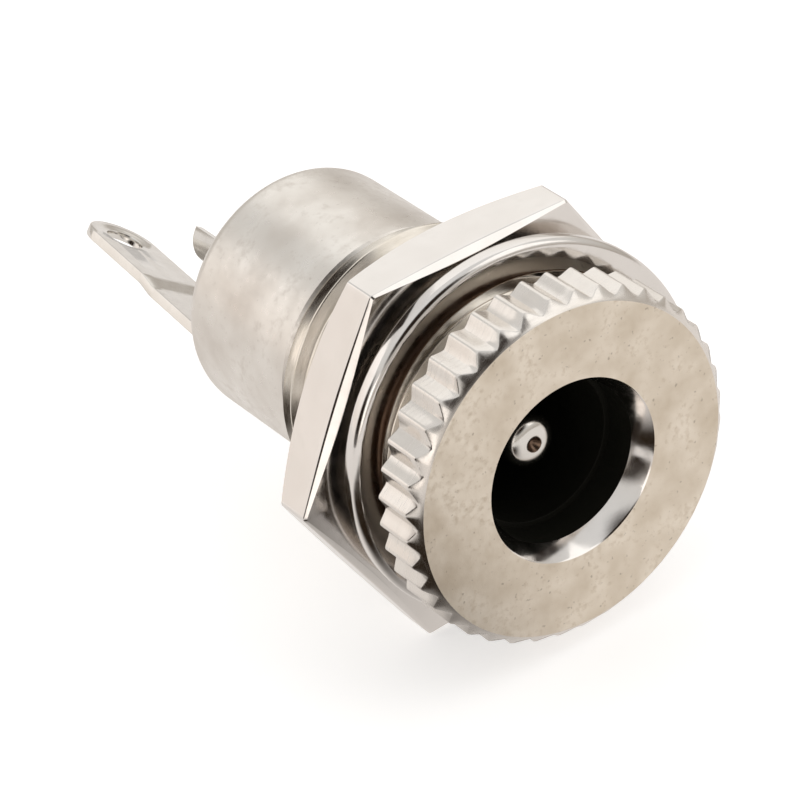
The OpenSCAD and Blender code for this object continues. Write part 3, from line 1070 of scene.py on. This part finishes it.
@dataclass(frozen=True)
class Nut:
    """The hexagon nut: bevelled towards the head, chamfered by a cone behind."""

    p: Places
    across_flats: float = 14.5
    corner_round: float = 0.16
    forward: float = 0.26
    clearance: float = 0.05
    countersink: float = 0.4
    mouth_edge: float = 0.03
    # The front bevel's width at a corner, and what it gains in the middle of a flat
    bevel_width: Point = (0.11, 0.19)
    # Rows of the front bevel, in its widths inwards and rearwards
    bevel_rows: tuple[Point, ...] = (
        (1.0, 0.0), (0.93, 0.01), (0.87, 0.06), (0.2, 0.73), (0.12, 0.82), (0.05, 0.95),
        (0.01, 1.12), (0.0, 1.3))
    front_row: float = 6.6
    back_row: float = 6.4
    chamfer_r: float = 7.05
    chamfer_angle: float = 30.0
    chamfer_edge: float = 0.035
    chamfer_rim: tuple[Point, ...] = ((0.03, -0.02), (-0.05, 0.0))
    # Columns of one sixth: the first after a corner, their step and their number
    marks: tuple[float, float, int] = (1.5, 1.9, 31)

    @property
    def in_r(self) -> float:
        """Half the size across flats."""
        return self.across_flats / 2

    @property
    def centre(self) -> float:
        """Distance of a corner rounding's centre from the axis."""
        return (self.in_r - self.corner_round) / math.cos(math.radians(HALF_SIXTH))

    @property
    def round_off(self) -> float:
        """Angle from a corner at which its rounding ends, in degrees."""
        half = math.radians(HALF_SIXTH)
        return math.degrees(math.atan2(self.corner_round * math.sin(half),
                                       self.centre + self.corner_round * math.cos(half)))

    def off_corner(self, turn: float) -> float:
        """Angle in degrees from the nearest corner, at a turn."""
        return abs((QUARTER - FULL * turn + HALF_SIXTH) % SIXTH - HALF_SIXTH)

    def radius(self, turn: float) -> float:
        """Radius of the hexagon with its corners rounded.

        Args:
            turn: direction as a turn.
        Returns:
            The radius in mm.
        """
        off = self.off_corner(turn)
        if off >= self.round_off:
            return self.in_r / math.cos(math.radians(HALF_SIXTH - off))
        a = math.radians(off)
        return self.centre * math.cos(a) + math.sqrt(
            self.corner_round ** 2 - (self.centre * math.sin(a)) ** 2)

    def bevel(self, turn: float) -> float:
        """Width in mm of the front bevel at a turn. It narrows to the corners."""
        least, gain = self.bevel_width
        return least + gain * math.sin(self.off_corner(turn) / HALF_SIXTH * math.pi / 2)

    def turns(self) -> list[float]:
        """Columns that follow the corners closely.

        Returns:
            Turns over a full circle.
        """
        near = [0.0, self.round_off / 2, self.round_off]
        first, step, count = self.marks
        marks = [*near, *(first + step * i for i in range(count)),
                 *(SIXTH - n for n in reversed(near[1:]))]
        degrees = [HALF_SIXTH + SIXTH * n + m for n in range(FULL // SIXTH) for m in marks
                   if m < SIXTH]
        return [d / FULL for d in [*degrees, HALF_SIXTH + FULL]]

    def bevelled(self, inwards: float, rearwards: float) -> Ring:
        """A row of the front bevel, placed in its widths inwards and rearwards."""
        front = self.p.nut_y - self.forward
        return Ring(lambda turn: (self.radius(turn) - inwards * self.bevel(turn),
                                  front + rearwards * self.bevel(turn)))

    def chamfered(self, inwards: float) -> Ring:
        """A row of the cone that chamfers the back.

        Args:
            inwards: how far it is inside the edge.
        Returns:
            The ring.
        """
        back, slope = self.p.nut_y + self.p.nut_t, math.tan(math.radians(self.chamfer_angle))

        def place(turn: float) -> Point:
            """Works out one point of the row.

            Args:
                turn: direction as a turn.
            Returns:
                Radius and y.
            """
            radius = self.radius(turn)
            y = back - (radius - self.chamfer_r) * slope + inwards - self.mouth_edge
            return radius - inwards, y
        return Ring(place)

    def build(self, skins: Skins) -> bpy.types.Object:
        """Builds the nut.

        Args:
            skins: materials by name.
        Returns:
            The piece.
        """
        front, back = self.p.nut_y - self.forward, self.p.nut_y + self.p.nut_t
        mouth = THREAD_R + self.clearance + self.countersink + self.mouth_edge
        outside = [
            fixed(mouth, front), fixed(self.front_row, front),
            *(self.bevelled(inwards, rearwards) for inwards, rearwards in self.bevel_rows),
            self.chamfered(0.0), self.chamfered(self.chamfer_edge),
            *rows(shifted((self.chamfer_r, back), self.chamfer_rim)),
            fixed(self.back_row, back), fixed(mouth, back)]
        thread = Thread(front, back, self.clearance, self.countersink)
        bore = list(reversed(thread.rings(0)))
        return piece("nut_skin", swept([*outside, *bore], self.turns(), True), [skins["mirror"]])


# ---- Studio ----


@dataclass(frozen=True)
class Lamp:
    """A soft square lamp: way to it, side in metres, glow of its face, and sRGB colour."""

    name: str
    way: tuple[float, float, float]
    size: float
    glow: float
    colour: str


@dataclass(frozen=True)
class Studio:
    """Floor, lights, surroundings and camera."""

    p: Places
    middle: Vector
    floor_half: float = 600.0
    floor_gap: float = 0.02
    floor_colour: str = "#efeeed"
    # What the floor adds for the camera, and how much of it metal sees as an even white
    floor_lift: float = 0.52
    floor_sheen: float = 0.72
    sheen_colour: str = "#fbf6f2"
    sheen: float = 0.98
    # Dark things that only metal mirrors: floor painted dark as the object's shadow at its front
    # left, and two ways in the surroundings
    painted_shadow_at: tuple[float, float, float] = (-17.0, -10.5, -7.27)
    painted_shadow_r: Point = (9.0, 19.5)
    painted_shadow_colour: str = "#33291f"
    dark_ways: tuple[tuple[float, float, float], ...] = (
        (-0.20, -0.70, 0.68), (-1.0, 0.02, 0.15))
    dark_from: Point = (0.86, 0.96)
    dark_colour: str = "#2c221b"
    # Colour of the surroundings by height, from level to overhead
    sky: tuple[tuple[float, str], ...] = (
        (0.0, "#c9c1b8"), (0.25, "#e6e1db"), (0.5, "#f7f5f2"), (1.0, "#ffffff"))
    sky_strength: float = 0.80
    lamp_distance: float = 0.35
    lamps: tuple[Lamp, ...] = (
        Lamp("key", (0.50, 0.62, 0.75), 0.36, 0.35, "#fffdfa"),
        Lamp("front", (0.52, -0.55, 0.68), 0.24, 0.55, "#fffdfa"),
        Lamp("side", (-0.75, 0.66, 0.22), 0.30, 0.50, "#fdf6f3"),
        Lamp("low", (-0.78, -0.66, 0.24), 0.14, 0.9, "#fbf4f0"))
    lens: float = 197.0
    sensor: float = 36.0
    clip: Point = (0.005, 5.0)
    camera_at: tuple[float, float, float] = (-66.3, -107.87, 86.17)
    aim_off: tuple[float, float, float] = (0.67, -2.5, -3.15)
    camera_up: tuple[float, float, float] = (0.411, 0.377, 0.830)

    def floor(self) -> None:
        """Lays a plain pale floor under the nut, with a painted shadow that only metal mirrors."""
        mesh = bmesh.new()
        bmesh.ops.create_grid(mesh, x_segments=2, y_segments=2, size=self.floor_half)
        bmesh.ops.translate(mesh, vec=(0, 0, self.p.low_z - self.floor_gap), verts=mesh.verts)
        made = bpy.data.materials.new("floor_white")
        made.use_nodes = True
        tree = made.node_tree
        tree.nodes.clear()
        matt = add(tree, "ShaderNodeBsdfDiffuse", Color=linear(self.floor_colour))
        ray = add(tree, "ShaderNodeLightPath").outputs
        seen = add(tree, "ShaderNodeMath", {"operation": "MULTIPLY"}, i0=ray["Is Camera Ray"],
                   i1=self.floor_lift)
        lift = add(tree, "ShaderNodeEmission", Color=(1, 1, 1, 1), Strength=seen.outputs[0])
        lit = add(tree, "ShaderNodeAddShader", i0=matt.outputs[0], i1=lift.outputs[0])
        mirrored = add(tree, "ShaderNodeMath", {"operation": "MULTIPLY"}, i0=ray["Is Glossy Ray"],
                       i1=self.floor_sheen)
        even = add(tree, "ShaderNodeEmission", Color=linear(self.sheen_colour),
                   Strength=self.sheen)
        bright = add(tree, "ShaderNodeMixShader", i0=mirrored.outputs[0], i1=lit.outputs[0],
                     i2=even.outputs[0])
        # Painted shadow: a dark spot of floor at the object's front left, seen only by glossy rays
        place = add(tree, "ShaderNodeTexCoord").outputs["Object"]
        off = add(tree, "ShaderNodeVectorMath", {"operation": "DISTANCE"}, i0=place,
                  i1=Vector(self.painted_shadow_at) * MM)
        painted_shadow = add(tree, "ShaderNodeMapRange", {"interpolation_type": "SMOOTHSTEP"},
                    Value=off.outputs["Value"], From_Min=self.painted_shadow_r[0] * MM,
                    From_Max=self.painted_shadow_r[1] * MM, To_Min=1.0, To_Max=0.0)
        share = add(tree, "ShaderNodeMath", {"operation": "MULTIPLY"},
                    i0=painted_shadow.outputs["Result"], i1=ray["Is Glossy Ray"])
        dark = add(tree, "ShaderNodeBsdfDiffuse", Color=linear(self.painted_shadow_colour))
        both = add(tree, "ShaderNodeMixShader", i0=share.outputs[0], i1=bright.outputs[0],
                   i2=dark.outputs[0])
        add(tree, "ShaderNodeOutputMaterial", Surface=both.outputs[0])
        piece("floor", mesh, [made])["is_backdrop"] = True

    def world(self) -> None:
        """Surrounds the object with a soft gradient that the camera sees as white."""
        world = bpy.data.worlds.new("studio")
        bpy.context.scene.world = world
        world.use_nodes = True
        tree = world.node_tree
        tree.nodes.clear()
        way = add(tree, "ShaderNodeTexCoord").outputs["Generated"]
        split = add(tree, "ShaderNodeSeparateXYZ", Vector=way)
        ramp = add(tree, "ShaderNodeValToRGB", Fac=split.outputs["Z"])
        stops = ramp.color_ramp.elements
        for stop, (position, code) in zip(stops, (self.sky[0], self.sky[-1])):
            stop.position = position
            stop.color = linear(code)
        for position, code in self.sky[1:-1]:
            stops.new(position).color = linear(code)
        colour = ramp.outputs["Color"]
        for dark_way in self.dark_ways:
            facing = add(tree, "ShaderNodeVectorMath", {"operation": "DOT_PRODUCT"}, i0=way,
                         i1=Vector(dark_way).normalized())
            share = add(tree, "ShaderNodeMapRange", {"interpolation_type": "SMOOTHSTEP"},
                        Value=facing.outputs["Value"], From_Min=self.dark_from[0],
                        From_Max=self.dark_from[1])
            colour = add(tree, "ShaderNodeMix", {"data_type": "RGBA"}, i0=share.outputs["Result"],
                         i6=colour, i7=linear(self.dark_colour)).outputs[2]
        dull = add(tree, "ShaderNodeBackground", Color=colour, Strength=self.sky_strength)
        white = add(tree, "ShaderNodeBackground", Color=(1, 1, 1, 1), Strength=1.0)
        seen = add(tree, "ShaderNodeLightPath").outputs["Is Camera Ray"]
        mixed = add(tree, "ShaderNodeMixShader", i0=seen, i1=dull.outputs[0], i2=white.outputs[0])
        add(tree, "ShaderNodeOutputWorld", Surface=mixed.outputs[0])

    def light(self, lamp: Lamp) -> None:
        """Adds a lamp aimed at the object.

        Args:
            lamp: what it is.
        """
        data = bpy.data.lights.new(lamp.name, "AREA")
        data.size = lamp.size
        data.color = linear(lamp.colour)[:3]
        data.energy = lamp.glow * math.pi * lamp.size ** 2
        way = Vector(lamp.way)
        made = bpy.data.objects.new(lamp.name, data)
        bpy.context.scene.collection.objects.link(made)
        made.location = self.middle + way.normalized() * self.lamp_distance
        made.rotation_euler = way.to_track_quat("Z", "Y").to_euler()

    def camera(self) -> None:
        """Sets the camera that looks down on the mouth from the left."""
        scene = bpy.context.scene
        data = bpy.data.cameras.new("camera")
        data.lens = self.lens
        data.sensor_width = self.sensor
        data.clip_start, data.clip_end = self.clip
        made = bpy.data.objects.new("camera", data)
        scene.collection.objects.link(made)
        place = Vector(self.camera_at) * MM
        ahead = (self.middle + Vector(self.aim_off) * MM - place).normalized()
        right = ahead.cross(Vector(self.camera_up)).normalized()
        up = right.cross(ahead)
        turned = Matrix((right, up, -ahead)).transposed()
        made.matrix_world = Matrix.Translation(place) @ turned.to_4x4()
        scene.camera = made
        scene.view_settings.view_transform = "Standard"

    def build(self) -> None:
        """Sets up everything round the object."""
        self.floor()
        self.world()
        for lamp in self.lamps:
            self.light(lamp)
        self.camera()


def main() -> None:
    """Builds the object's looks in order and reports what was made."""
    logging.basicConfig(level=logging.INFO, format="%(message)s")
    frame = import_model()
    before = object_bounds()
    places = Places.read()
    skins = {name: material(finish) for name, finish in FINISHES.items()}
    socket = Socket(places)
    tab, disc = GroundTab(places).build(skins)
    made = [
        (Shell(places).build(skins), "jack", "shell", "nickel_plate"),
        (socket.liner(skins), "jack", "socket_liner", "black_plastic"),
        (socket.bush(skins), "jack", "rear_bush", "grey_plastic"),
        (Pin(places).build(skins), "jack", "centre_pin", "nickel_plate"),
        (tab, "jack", "ground_tab", "spring_plate"),
        (disc, "jack", "ground_tab", "spring_plate"),
        (Washer(places).build(skins), "washer", "split_washer", "bright_plate"),
        (Nut(places).build(skins), "nut", "hex_nut", "bright_plate"),
    ]
    for built, body, node, slot in made:
        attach(built, body)
        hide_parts(node)
        LOG.info("%s: %d faces on %s", built.name, len(built.data.polygons), body)
    for slot in frame["nodes"]["sleeve_contact"].material_slots:
        slot.material = skins["sheet"]
    low, high = before
    Studio(places, (low + high) / 2).build()


if __name__ == "__main__":
    main()
